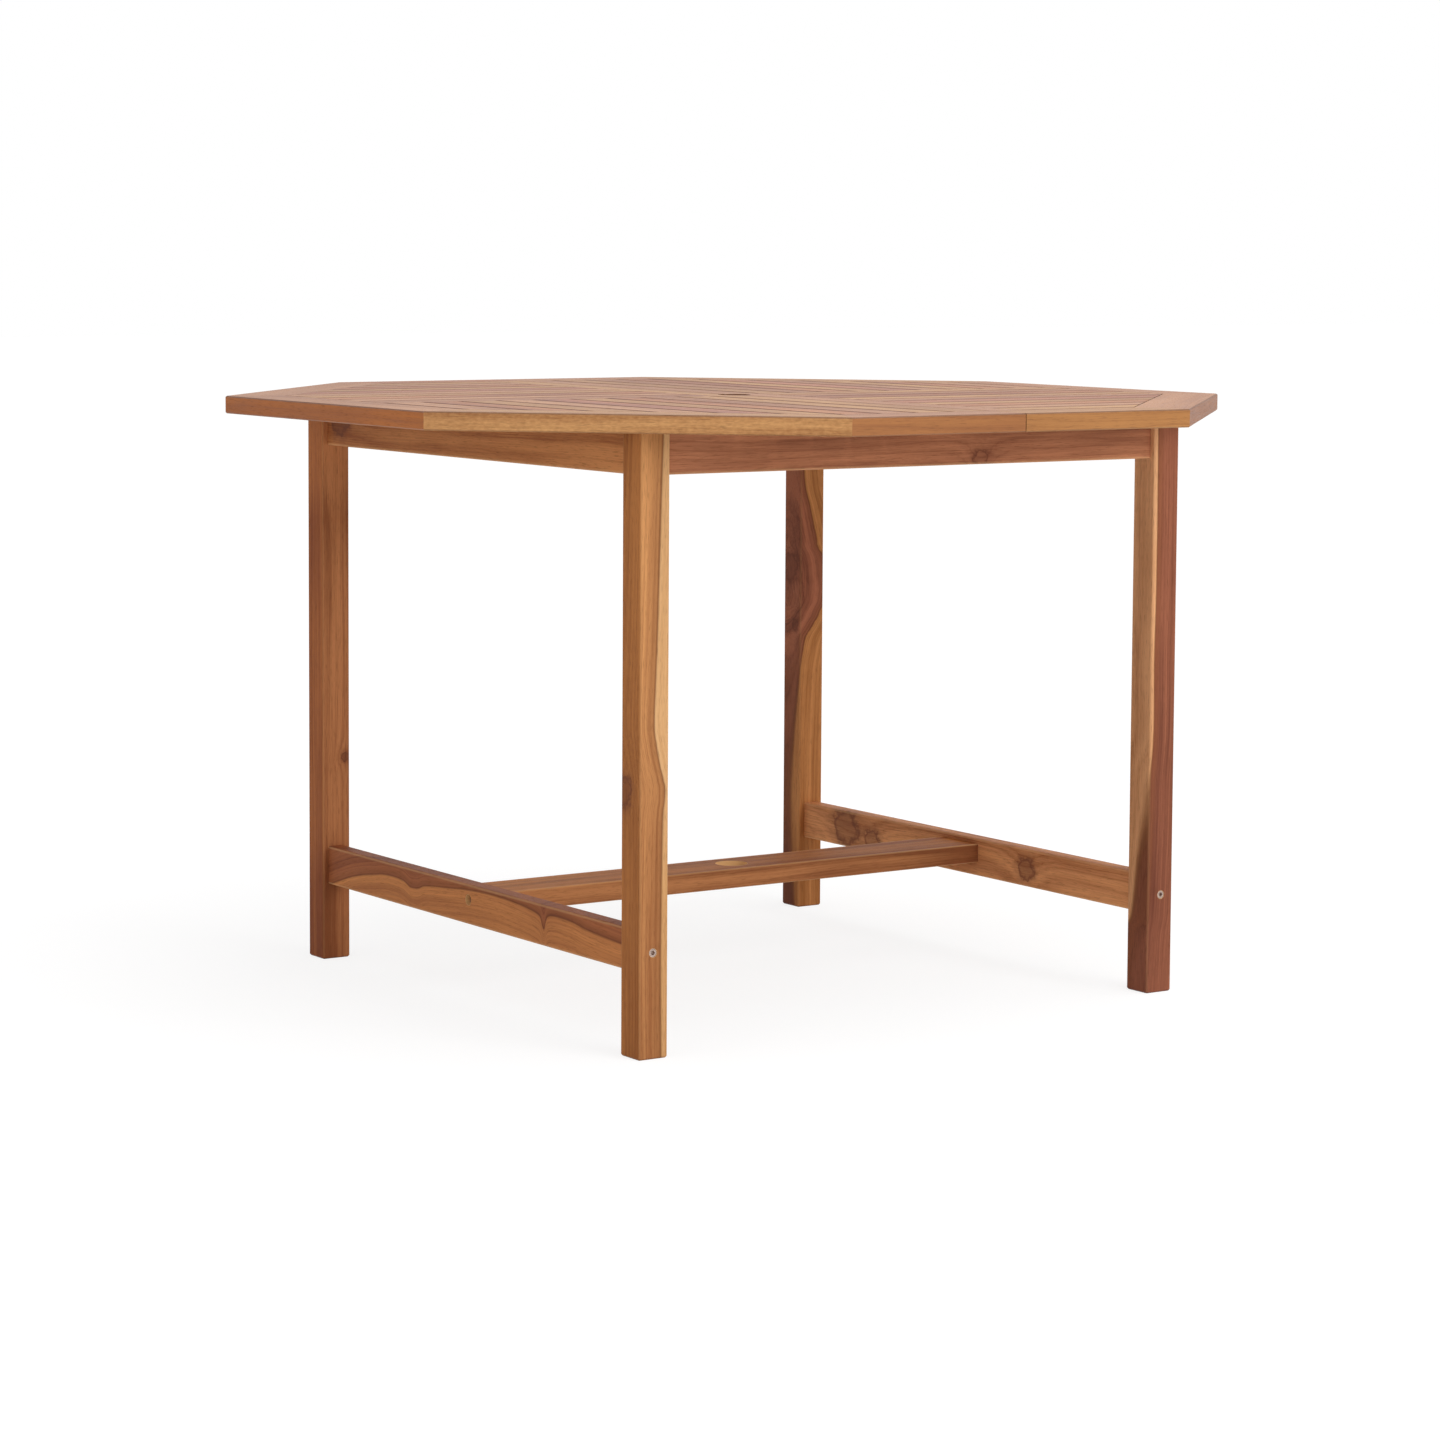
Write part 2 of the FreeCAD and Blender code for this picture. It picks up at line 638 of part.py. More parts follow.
def make_stretcher_fasteners():
    """Bolts, barrel nuts and dowels between the end rails and the stretcher."""
    length = f"(rail_thickness - {TIE_SEAT} + nut_setback + bolt_tip)"
    bolts, nuts, dowels = [], [], []
    for side in (-1, 1):
        inward = FreeCAD.Vector(-side, 0, 0)
        bolts.append(((f"{side} * ({RAIL_OUTER} - {TIE_SEAT})", "0", STRETCHER_MID), pointing(inward)))
        nuts.append(((f"{side} * ({RAIL_INNER} - nut_setback)", "0", STRETCHER_MID), about_z(0)))
        for across in (-1, 1):
            level = f"{across} * tie_dowel_spread / 2"
            start = (f"{side} * ({RAIL_INNER} + dowel_depth)", level, STRETCHER_MID)
            dowels.append((start, pointing(inward)))
    group("stretcher_bolts", socket_bolt("tie_size", length, "tie_head", "tie_head_height", "tie_key"), bolts)
    group("stretcher_barrel_nuts", barrel_nut("tie_nut_size", "tie_nut_length", "tie_size"), nuts)
    group("stretcher_dowels", hidden_bar("dowel_size", "2 * dowel_depth"), dowels)


def ring(outside, thickness):
    """Washer about its axis, from the origin up."""
    return combine("Cut", round_bar(outside, thickness), hidden_bar("rod_size + 2 * fit_gap", thickness))


def hex_nut():
    nut = doc.addObject("Part::Prism", "nut")
    nut.Polygon = 6
    bind(nut, Circumradius="rod_nut_across / sqrt(3)", Height="rod_nut_height")
    return combine("Cut", nut, hidden_bar("rod_size + 2 * fit_gap", "rod_nut_height"))


def make_hanger_fasteners():
    """Rods through the corner blocks into the legs, with washers and nuts."""
    rods, washers, nuts = [], [], []
    for side, depth in CORNERS:
        turn = pointing(FreeCAD.Vector(side, depth, 0).normalize())

        def behind(gap):
            reach = f"({BLOCK_BACK} - {gap} / sqrt(2))"
            return (f"{side} * {reach}", f"{depth} * {reach}", BLOCK_MID), turn

        rods.append(behind(ROD_TAIL))
        washers.append(behind("washer_thickness"))
        nuts.append(behind("(washer_thickness + rod_nut_height)"))
    into_leg = f"(({LEG_INNER} - {BLOCK_FACE}) * sqrt(2) + rod_bite)"
    group("hanger_rods", hidden_bar("rod_size", f"{ROD_TAIL} + {BLOCK_DEPTH} + {into_leg}"), rods)
    group("hanger_washers", ring("washer_size", "washer_thickness"), washers)
    group("hanger_nuts", hex_nut(), nuts)


def make_screws():
    """Screws that hold the leaves to the aprons and the battens to the stiles."""
    upright = about_z(0)
    under_apron = f"{UNDERSIDE} - screw_grip"
    places = []
    for side in (-1, 1):
        places.append(((f"{side} * {APRON_CENTRE}", "0", under_apron), upright))
        for y in (APRON_CENTRE, f"-{APRON_CENTRE}", BATTEN_MID, f"-{BATTEN_MID}"):
            places.append(((f"{side} * {STILE_MID}", y, under_apron), upright))
    group("top_screws", wood_screw(), places)


def make_base():
    for side, depth in CORNERS:
        make_leg(side, depth)
    stile_screws = (STILE_MID, f"-{STILE_MID}")
    make_apron("apron_front", 0, stile_screws)
    make_apron("apron_back", 180, stile_screws)
    make_apron("apron_left", -90, ("0",))
    make_apron("apron_right", 90, ("0",))
    make_end_rail("end_rail_left", -90)
    make_end_rail("end_rail_right", 90)
    make_stretcher()
    for side, depth in CORNERS:
        make_corner_block(side, depth)


def make_top():
    make_rim_board("rim_front_half_left", 0, half=-1)
    make_rim_board("rim_front_half_right", 0, half=1)
    make_rim_board("rim_corner_front_right", 45)
    make_rim_board("rim_right", 90)
    make_rim_board("rim_corner_back_right", 135)
    make_rim_board("rim_back_half_right", 180, half=-1)
    make_rim_board("rim_back_half_left", 180, half=1)
    make_rim_board("rim_corner_back_left", 225)
    make_rim_board("rim_left", 270)
    make_rim_board("rim_corner_front_left", 315)
    make_stile("leaf_stile_right", 0)
    make_stile("leaf_stile_left", 180)
    make_cross_rail("cross_rail_right", 0)
    make_cross_rail("cross_rail_left", 180)
    front_field = quarter_field("front_field", STILE_EDGE, "0", side=-1)
    back_field = quarter_field("back_field", "0", CROSS_EDGE, side=1)
    make_slats("slat_along", "YZ_Plane", -1, CROSS_EDGE, front_field)
    make_slats("slat_across", "XZ_Plane", 1, STILE_EDGE, back_field)
    make_batten("top_batten_front", -1)
    make_batten("top_batten_back", 1)


def check_document():
    """Stop if any object failed or any sub-part is empty or broken."""
    doc.recompute()
    for item in doc.Objects:
        if "Invalid" in item.State or "Error" in item.State:
            raise RuntimeError(f"{item.Name}: {item.State}")
    for name, item in nodes.items():
        shape = item.Shape
        if shape.isNull() or not shape.isValid() or not shape.Solids:
            raise RuntimeError(f"{name}: no valid solid")


make_base()
make_top()
make_rail_fasteners()
make_stretcher_fasteners()
make_hanger_fasteners()
make_screws()
check_document()

os.makedirs("parts", exist_ok=True)
for name, item in nodes.items():
    item.Shape.exportStep(f"parts/{name}.step")
print(len(nodes), "sub-parts,", sum(len(item.Shape.Solids) for item in nodes.values()), "solids")
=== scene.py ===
import bpy
from mathutils import Matrix, Vector


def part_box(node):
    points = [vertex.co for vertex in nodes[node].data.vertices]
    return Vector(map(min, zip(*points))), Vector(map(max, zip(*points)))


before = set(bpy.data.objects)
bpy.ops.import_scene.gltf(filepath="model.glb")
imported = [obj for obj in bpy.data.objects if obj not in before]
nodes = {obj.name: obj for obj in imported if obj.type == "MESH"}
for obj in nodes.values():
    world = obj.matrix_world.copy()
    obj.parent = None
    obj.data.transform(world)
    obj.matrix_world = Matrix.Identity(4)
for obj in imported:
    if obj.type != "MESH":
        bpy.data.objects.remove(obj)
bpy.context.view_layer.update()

X, Y, Z = Vector((1, 0, 0)), Vector((0, 1, 0)), Vector((0, 0, 1))
FRONT_RIGHT, BACK_RIGHT = (X - Y).normalized(), (X + Y).normalized()


def colour(hex_value):
    """An sRGB hex colour as the linear values that a shader takes."""
    parts = [int(hex_value[i:i + 2], 16) / 255 for i in (1, 3, 5)]
    linear = [p / 12.92 if p <= 0.04045 else ((p + 0.055) / 1.055) ** 2.4 for p in parts]
    return (*linear, 1.0)


def add(tree, kind, inputs=(), stops=(), **settings):
    """Add a node with its settings, and give its inputs links, values or hex colours.

    stops are for a ramp. Each is (position, grey or hex colour), from left to right.
    """
    node = tree.nodes.new("ShaderNode" + kind)
    for name, value in settings.items():
        setattr(node, name, value)
    pairs = inputs.items() if isinstance(inputs, dict) else enumerate(inputs)
    for socket, source in pairs:
        if isinstance(source, bpy.types.NodeSocket):
            tree.links.new(source, node.inputs[socket])
        else:
            node.inputs[socket].default_value = colour(source) if isinstance(source, str) else source
    # A new ramp has two stops
    for _ in stops[2:]:
        node.color_ramp.elements.new(0.5)
    for number, (position, shade) in enumerate(stops):
        element = node.color_ramp.elements[number]
        element.position = position
        element.color = colour(shade) if isinstance(shade, str) else (shade, shade, shade, 1)
    return node


def blank_material(name):
    """A new material that has no nodes yet, and its node tree."""
    material = bpy.data.materials.new(name)
    material.use_nodes = True
    material.node_tree.nodes.clear()
    return material, material.node_tree


def wear(piece, material):
    """Give a piece one finish all over."""
    piece.data.materials.clear()
    piece.data.materials.append(material)


# Solid teak
# Its lengths are in millimetres, in the board's own frame and from the board's middle: x runs
# along the grain, y across the face and z through the board. The tree's centre is a line
# along x, and growth is how far out from the heartwood's last ring a point of the wood lies.
# A board's seed, times a number of its own for each pattern, shifts the patterns, so that no
# two boards are alike.

# The second slat of a node is cut from the same log, this much further along it and out
TWIN_ALONG, TWIN_OUT = 1370.0, 23.0
# About half the width of a slat
HALF_SLAT = 25
KNOT = "#67392A"
LAST_RING = "#6E4026"
LAST_HEARTWOOD = "#7A4729"
PORE = "#54331F"
# Painted shade on sides and in gaps, with some dust and old oil
DUST_OIL_AND_PAINTED_SHADE = "#54331F"
# Paler long edges: sanded wear and a painted highlight
SANDED_EDGE_AND_HIGHLIGHT = "#DDAF7F"
# Bare wood in holes, made paler as painted light inside them
BARE_WOOD_AND_PAINTED_LIGHT = "#DFB27C"


def board_place(tree, node_name, along, across):
    """The point in the board's own frame, and half the board's length, width and depth."""
    low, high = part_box(node_name)
    through = along.cross(across)
    half = [(high - low).dot(Vector([abs(v) for v in axis])) * 500 for axis in (along, across, through)]
    turn = Matrix((along, across, through)).transposed().to_euler()
    place = add(tree, "TexCoord").outputs["Object"]
    place = add(tree, "Mapping", {"Vector": place, "Location": (low + high) / 2, "Rotation": turn,
                                  "Scale": (0.001, 0.001, 0.001)}, vector_type="TEXTURE").outputs[0]
    return place, half


def patches(tree, grain, length, width, detail, shift=(0, 0, 0)):
    """Noise in patches that are so long along the grain and so wide across it."""
    place = add(tree, "Mapping", {"Vector": grain, "Location": shift,
                                  "Scale": (1 / length, 1 / width, 1 / width)}).outputs[0]
    return add(tree, "TexNoise", {"Vector": place, "Scale": 1.0, "Detail": detail}).outputs


def bell(tree, distance, sharpness, height):
    """A smooth hump over distance 0. With a sharpness of 1 it is 1.7 wide at half its height."""
    hump = add(tree, "Math", (distance, distance), operation="MULTIPLY").outputs[0]
    hump = add(tree, "Math", (hump, -sharpness), operation="MULTIPLY").outputs[0]
    hump = add(tree, "Math", (hump,), operation="EXPONENT").outputs[0]
    return add(tree, "Math", (hump, height), operation="MULTIPLY").outputs[0]


def twin_slats(tree, x, y, z, half_width):
    """Give the two slats of one node wood of their own.

    They lie in different leaves, on the far side of both centre lines from each other.
    """
    side = add(tree, "Math", (x, 0.0), operation="GREATER_THAN").outputs[0]
    y = add(tree, "Math", (y,), operation="ABSOLUTE").outputs[0]
    y = add(tree, "Math", (y, half_width - HALF_SLAT), operation="SUBTRACT").outputs[0]
    x = add(tree, "Math", (side, TWIN_ALONG, x), operation="MULTIPLY_ADD").outputs[0]
    z = add(tree, "Math", (side, TWIN_OUT, z), operation="MULTIPLY_ADD").outputs[0]
    return x, y, z


def share_of_length(tree, x, half_length):
    """How far along the board a point lies, from 0 to 1."""
    return add(tree, "Math", (x, 0.5 / half_length, 0.5), operation="MULTIPLY_ADD").outputs[0]


def swayed(tree, x, y, half_length, sway):
    """Shift the grain sideways, along a smooth curve through the points of sway."""
    spread = max(abs(shift) for _, shift in sway) + 1
    points = sorted((0.5 + at / (2 * half_length), 0.5 + shift / (2 * spread)) for at, shift in sway)
    run = add(tree, "FloatCurve", {"Value": share_of_length(tree, x, half_length)})
    line = run.mapping.curves[0]
    line.points[0].location = points[0]
    line.points[1].location = points[-1]
    for point in points[1:-1]:
        line.points.new(*point)
    run.mapping.update()
    shift = add(tree, "Math", (run.outputs[0], -0.5), operation="ADD").outputs[0]
    return add(tree, "Math", (shift, -2 * spread, y), operation="MULTIPLY_ADD").outputs[0]


def wandering(tree, x, y, z, wander, seed):
    """Let the grain stray by up to wander, in bends about 380 mm long and 55 wide."""
    straight = add(tree, "CombineXYZ", (x, y, z)).outputs[0]
    bends = patches(tree, straight, 380, 55, 1.5, (seed * 37.1, seed * 11.3, 0))["Color"]
    bends = add(tree, "SeparateColor", (bends,))
    bend_y = add(tree, "Math", (bends.outputs[0], 2 * wander, -wander), operation="MULTIPLY_ADD").outputs[0]
    bend_z = add(tree, "Math", (bends.outputs[1], 2 * wander, -wander), operation="MULTIPLY_ADD").outputs[0]
    y = add(tree, "Math", (y, bend_y), operation="ADD").outputs[0]
    z = add(tree, "Math", (z, bend_z), operation="ADD").outputs[0]
    return y, z


def out_from_heartwood(tree, y, z, pith, heart_radius):
    """Growth: the distance from the tree's centre, less the heartwood's radius."""
    out_y = add(tree, "Math", (y, pith[0]), operation="SUBTRACT").outputs[0]
    out_z = add(tree, "Math", (z, pith[1]), operation="SUBTRACT").outputs[0]
    section = add(tree, "CombineXYZ", (0.0, out_y, out_z)).outputs[0]
    radius = add(tree, "VectorMath", (section,), operation="LENGTH").outputs["Value"]
    return add(tree, "Math", (radius, heart_radius), operation="SUBTRACT").outputs[0]


def out_from_knot(tree, place, middle, size):
    """The distance from a knot's middle, in knot sizes. Noise makes the knot's rim uneven."""
    off = add(tree, "Mapping", {"Vector": place, "Location": middle, "Scale": (1.25 * size, size, size)},
              vector_type="TEXTURE").outputs[0]
    rough = add(tree, "TexNoise", {"Vector": off, "Scale": 1.6, "Detail": 4.0}).outputs["Fac"]
    off = add(tree, "VectorMath", (off,), operation="LENGTH").outputs["Value"]
    off = add(tree, "Math", (rough, 1.3, off), operation="MULTIPLY_ADD").outputs[0]
    return add(tree, "Math", (off, -0.65), operation="ADD").outputs[0]


def growth_rings(tree, growth, grain, ring, seed):
    """Each ring is a dark line of pores, then lighter early wood that deepens again."""
    # Rings are wide in some years and narrow in others, in runs of about 21 mm
    years = add(tree, "Math", (growth, 1 / 21, seed * 3.7), operation="MULTIPLY_ADD").outputs[0]
    years = add(tree, "TexNoise", {"W": years, "Scale": 1.0, "Detail": 1.0}, noise_dimensions="1D")
    # Their lines are uneven, in patches of about 60 by 3 mm
    fray = patches(tree, grain, 60, 3, 2.0)["Fac"]
    count = add(tree, "Math", (growth, 1 / ring, seed), operation="MULTIPLY_ADD").outputs[0]
    count = add(tree, "Math", (years.outputs["Fac"], 2.6, count), operation="MULTIPLY_ADD").outputs[0]
    count = add(tree, "Math", (fray, 0.5, count), operation="MULTIPLY_ADD").outputs[0]
    phase = add(tree, "Math", (count,), operation="FRACT").outputs[0]
    rings = add(tree, "ValToRGB", (phase,), [(0, 0.0), (0.1, 0.62), (0.4, 1.0), (0.88, 0.5), (1, 0.0)])
    rings.color_ramp.interpolation = "EASE"
    return rings.outputs["Color"]


def colour_bands(tree, growth, x, seed):
    """Bands of colour about 13 mm wide and 700 long, which run with the rings."""
    out = add(tree, "Math", (growth, 1 / 13, seed * 9.1), operation="MULTIPLY_ADD").outputs[0]
    along = add(tree, "Math", (x, 1 / 700), operation="MULTIPLY").outputs[0]
    bands = add(tree, "CombineXYZ", (out, along, 0.0)).outputs[0]
    bands = add(tree, "TexNoise", {"Vector": bands, "Scale": 1.0, "Detail": 2.5}, noise_dimensions="2D")
    return bands.outputs["Fac"]


def open_pores(tree, grain):
    """Pores 15 mm long and 0.8 wide.

    They are drawn twice as wide as real ones, so that they still show from a step away.
    """
    pores = patches(tree, grain, 15, 0.8, 1.0)["Fac"]
    return add(tree, "ValToRGB", (pores,), [(0.58, 0.0), (0.68, 1.0)]).outputs["Color"]


def mixed_tone(tree, rings, contrast, figure):
    """Tone, from 0 for the dark colour of a pair to 1 for the light one.

    figure is the rest of the wood's figure, as pairs of a pattern and its weight.
    """
    # The rings span about a third of the tone, round its middle
    tone = add(tree, "Math", (rings, 0.34 * contrast, 0.5 - 0.19 * contrast),
               operation="MULTIPLY_ADD").outputs[0]
    for pattern, weight in figure:
        pattern = add(tree, "Math", (pattern, 0.5), operation="SUBTRACT").outputs[0]
        tone = add(tree, "Math", (pattern, weight, tone), operation="MULTIPLY_ADD").outputs[0]
    return tone


def sapwood(tree, growth, tone, sap):
    """Layers for the pale outer wood, a dark line 2 mm wide before it, and deep rings before that."""
    pale = add(tree, "Mix", {0: tone, 6: sap[1], 7: sap[0]}, data_type="RGBA").outputs[2]
    outside = add(tree, "Math", (growth, 0.5, 0.5), operation="MULTIPLY_ADD").outputs[0]
    outside = add(tree, "ValToRGB", (outside,), [(0.2, 0.0), (0.8, 1.0)]).outputs["Color"]
    inside = add(tree, "Math", (growth, 4.0), operation="ADD").outputs[0]
    return [(outside, pale), (bell(tree, growth, 0.8, 0.75), LAST_RING),
            (bell(tree, inside, 0.08, 0.35), LAST_HEARTWOOD)]


def knot_wood(tree, eye, fill):
    """Where a knot is dark: most of all along its rim."""
    eye = add(tree, "Math", (eye, 0.7), operation="MULTIPLY").outputs[0]
    stops = [(0.0, fill), (0.4, fill), (0.56, 0.8), (0.68, 0.3), (1.0, 0.0)]
    return add(tree, "ValToRGB", (eye,), stops).outputs["Color"]


def faces_along(tree, across):
    """1 on the faces that look along y, and 0 on those that look along x and z."""
    normal = add(tree, "NewGeometry").outputs["Normal"]
    faced = add(tree, "VectorMath", (normal, tuple(across)), operation="DOT_PRODUCT").outputs["Value"]
    return add(tree, "Math", (faced, faced), operation="MULTIPLY").outputs[0]


def long_edges(tree, place, half, edge_wear_and_highlight):
    """The long edges are a little paler: sanding rounds them and thins the oil there, and a painted
    highlight lies along them.
    """
    split = add(tree, "SeparateXYZ", (place,))
    edge_y = add(tree, "Math", (split.outputs[1], 1 / half[1]), operation="MULTIPLY").outputs[0]
    edge_z = add(tree, "Math", (split.outputs[2], 1 / half[2]), operation="MULTIPLY").outputs[0]
    corner = add(tree, "Math", (edge_y, edge_z), operation="MULTIPLY").outputs[0]
    corner = add(tree, "Math", (corner,), operation="ABSOLUTE").outputs[0]
    return add(tree, "ValToRGB", (corner,), [(0.86, 0.0), (0.95, edge_wear_and_highlight)]).outputs["Color"]


def painted_shade_on_sides(tree, shade, shade_from):
    """Painted shade on the sides, with some dust and old oil. Faces that look straight up stay clear of it.
    """
    normal = add(tree, "NewGeometry").outputs["Normal"]
    upward = add(tree, "SeparateXYZ", (normal,)).outputs[2]
    below = add(tree, "Math", (upward, 0.95), operation="LESS_THAN").outputs[0]
    above = add(tree, "Math", (upward, shade_from), operation="GREATER_THAN").outputs[0]
    shade_and_dust = add(tree, "Math", (below, above), operation="MULTIPLY").outputs[0]
    return add(tree, "Math", (shade_and_dust, shade), operation="MULTIPLY").outputs[0]


def bore_wall(tree, place, bore_x, bore_y, radius):
    """The wall of a hole that was drilled through the board, along z."""
    wall = add(tree, "VectorMath", (place, (-bore_x, -bore_y, 0)), operation="ADD").outputs[0]
    wall = add(tree, "VectorMath", (wall, (1, 1, 0)), operation="MULTIPLY").outputs[0]
    wall = add(tree, "VectorMath", (wall,), operation="LENGTH").outputs["Value"]
    return add(tree, "Math", (wall, radius + 0.2), operation="LESS_THAN").outputs[0]


def satin_oil(tree, wood, fibre, pores, gloss):
    """A thin coat of oil that follows the wood: satin on the fibres and duller in the pores."""
    sheen = add(tree, "Math", (fibre, 0.22, 0.36), operation="MULTIPLY_ADD").outputs[0]
    sheen = add(tree, "Math", (pores, 0.12, sheen), operation="MULTIPLY_ADD").outputs[0]
    # Fibres stand up by about a tenth of a millimetre, and pores are sunk
    relief = add(tree, "Math", (pores, -0.6, fibre), operation="MULTIPLY_ADD").outputs[0]
    relief = add(tree, "Bump", {"Height": relief, "Strength": 0.5, "Distance": 0.00012}).outputs[0]
    return add(tree, "BsdfPrincipled", {"Base Color": wood, "Roughness": sheen, "Normal": relief,
                                        "IOR": 1.5, "Specular IOR Level": gloss}).outputs[0]


def teak(node_name, along, across, heart, flank_cut_and_shade=None, sap=None, pith=(0, -90), heart_radius=400,
         ring=5.0, contrast=1.0, sway=(), wander=7.0, knots=(), knot_fill=0.55, bores=(), fleck=0.0,
         tone_along_length=(), edge_wear_and_highlight=0.42, shade=0.0, shade_from=-0.95, gloss=0.05, seed=0.0, folded=False):
    """Solid teak, sawn and sanded, with a thin satin oil: brown wood with fine dark ring lines.

    The growth rings are circles round pith, the tree's centre, so faces, edges and ends show
    one and the same log. Colours are (light, dark) pairs: heart for the heartwood,
    flank_cut_and_shade for heartwood on the faces that look along y, partly because the saw met
    the rings the other way there and partly as painted light and shade, which sets these faces
    apart from the others, and sap for the sapwood, from heart_radius outwards. ring is the
    rings' width, and contrast how strong they and the other figure are.

    sway is a list of (x, shift in y), the way that this board's grain runs, and wander how far
    it strays from that. knots are (x, y, z, size, how far they push the rings aside), and
    knot_fill is how dark they are inside their rim. bores are (x, y, radius) of drilled holes,
    whose walls are bare wood with no oil, made paler still as painted light inside the hole.
    fleck is how strong the rays show, as short pale flakes.

    tone_along_length is a list of (share of the board's length, tone added there): the wood
    gets lighter or darker along the board, and the darker feet of the back legs are painted
    shade. edge_wear_and_highlight is how much paler the long edges are, from sanded wear and a
    painted highlight, and shade how much darker the sides are, as painted shade with some dust
    and old oil. Only the faces that point higher than shade_from have that shade. gloss is how
    much the oil mirrors. seed shifts all patterns, and folded is for the two slats of one node.
    """
    material, tree = blank_material("oiled teak, " + node_name)
    place, half = board_place(tree, node_name, along, across)
    x, y, z = add(tree, "SeparateXYZ", (place,)).outputs
    if folded:
        x, y, z = twin_slats(tree, x, y, z, half[1])
    if sway:
        y = swayed(tree, x, y, half[0], sway)
    y, z = wandering(tree, x, y, z, wander, seed)
    grain = add(tree, "CombineXYZ", (x, y, z)).outputs[0]

    growth = out_from_heartwood(tree, y, z, pith, heart_radius)
    eyes = []
    for knot_x, knot_y, knot_z, size, push in knots:
        eye = out_from_knot(tree, place, (knot_x, knot_y, knot_z), size)
        # The rings bend round a knot, out to about twice its size
        pushed = bell(tree, eye, 0.22, push)
        growth = add(tree, "Math", (growth, pushed), operation="ADD").outputs[0]
        eyes.append(eye)

    rings = growth_rings(tree, growth, grain, ring, seed)
    bands = colour_bands(tree, growth, x, seed)
    fibre = patches(tree, grain, 130, 1.6, 3.0)["Fac"]
    drift = patches(tree, grain, 170, 45, 2.0, (seed * 5.3, 0, 0))["Fac"]
    figure = [(bands, 1.5 * contrast), (fibre, contrast), (drift, 0.9 * contrast)]
    if tone_along_length:
        stops = [(at, 0.5 + added) for at, added in tone_along_length]
        share = share_of_length(tree, x, half[0])
        figure.append((add(tree, "ValToRGB", (share,), stops).outputs["Color"], 1.0))
    if fleck:
        figure.append((patches(tree, grain, 6, 3, 2.0)["Fac"], fleck))
    tone = mixed_tone(tree, rings, contrast, figure)

    # Colour, as layers over the dark heartwood: (where a layer shows, its colour)
    pores = open_pores(tree, grain)
    layers = [(tone, heart[0])]
    # Faces that look along y take the flank colours: partly the other cut of the rings, partly painted
    # light and shade
    if flank_cut_and_shade:
        flank_shaded = add(tree, "Mix", {0: tone, 6: flank_cut_and_shade[1], 7: flank_cut_and_shade[0]}, data_type="RGBA").outputs[2]
        layers.append((faces_along(tree, across), flank_shaded))
    if sap:
        layers += sapwood(tree, growth, tone, sap)
    layers += [(knot_wood(tree, eye, knot_fill), KNOT) for eye in eyes]
    layers.append((add(tree, "Math", (pores, 0.3), operation="MULTIPLY").outputs[0], PORE))
    # Paler long edges: sanded wear and a painted highlight along them
    if edge_wear_and_highlight:
        layers.append((long_edges(tree, place, half, edge_wear_and_highlight), SANDED_EDGE_AND_HIGHLIGHT))
    # Darker sides: painted shade, with some dust and old oil
    if shade:
        layers.append((painted_shade_on_sides(tree, shade, shade_from), DUST_OIL_AND_PAINTED_SHADE))
    # Hole walls: bare wood, made paler as painted light inside the hole
    layers += [(bore_wall(tree, place, *bore), BARE_WOOD_AND_PAINTED_LIGHT) for bore in bores]
    wood = heart[1]
    for where, over in layers:
        wood = add(tree, "Mix", {0: where, 6: wood, 7: over}, data_type="RGBA").outputs[2]

    add(tree, "OutputMaterial", (satin_oil(tree, wood, fibre, pores, gloss),))
    wear(nodes[node_name], material)


def zinc_plated_steel(name, tint, roughness):
    """Zinc plated steel: a pale metal with a faint mottle from the plating bath."""
    material, tree = blank_material(name)
    place = add(tree, "TexCoord").outputs["Object"]
    # Zinc spangle about 2 mm across, and scratches from the key about 0.3 mm
    spangle = add(tree, "TexNoise", {"Vector": place, "Scale": 1000 / 2, "Detail": 2.0}).outputs["Fac"]
    tone = add(tree, "ValToRGB", (spangle,), [(0.3, tint[1]), (0.7, tint[0])]).outputs["Color"]
    rough = add(tree, "Math", (spangle, 0.2, roughness - 0.1), operation="MULTIPLY_ADD").outputs[0]
    fine = add(tree, "TexNoise", {"Vector": place, "Scale": 3300.0, "Detail": 1.0}).outputs["Fac"]
    relief = add(tree, "Bump", {"Height": fine, "Strength": 0.3, "Distance": 0.00004}).outputs[0]
    shader = add(tree, "BsdfPrincipled", {"Base Color": tone, "Metallic": 1.0, "Roughness": rough,
                                          "Normal": relief})
    add(tree, "OutputMaterial", (shader.outputs[0],))
    return material


def raw_beech(name):
    """Turned beech dowel, unfinished: pale pinkish tan with fine darker flecks."""
    material, tree = blank_material(name)
    place = add(tree, "TexCoord").outputs["Object"]
    # Flecks about 1 mm across
    fleck = add(tree, "TexNoise", {"Vector": place, "Scale": 900.0, "Detail": 2.0}).outputs["Fac"]
    tone = add(tree, "ValToRGB", (fleck,), [(0.35, "#B98E63"), (0.6, "#D8B58A")]).outputs["Color"]
    rough = add(tree, "Math", (fleck, 0.1, 0.6), operation="MULTIPLY_ADD").outputs[0]
    shader = add(tree, "BsdfPrincipled", {"Base Color": tone, "Roughness": rough})
    add(tree, "OutputMaterial", (shader.outputs[0],))
    return material


# Colours of the boards as (light, dark): teak off several logs, so no two boards match
GOLDEN = ("#A87B4E", "#7B4E2B")
TAN = ("#A37452", "#78492E")
ORANGE = ("#9F6841", "#723E24")
RUSSET = ("#986044", "#693A2B")

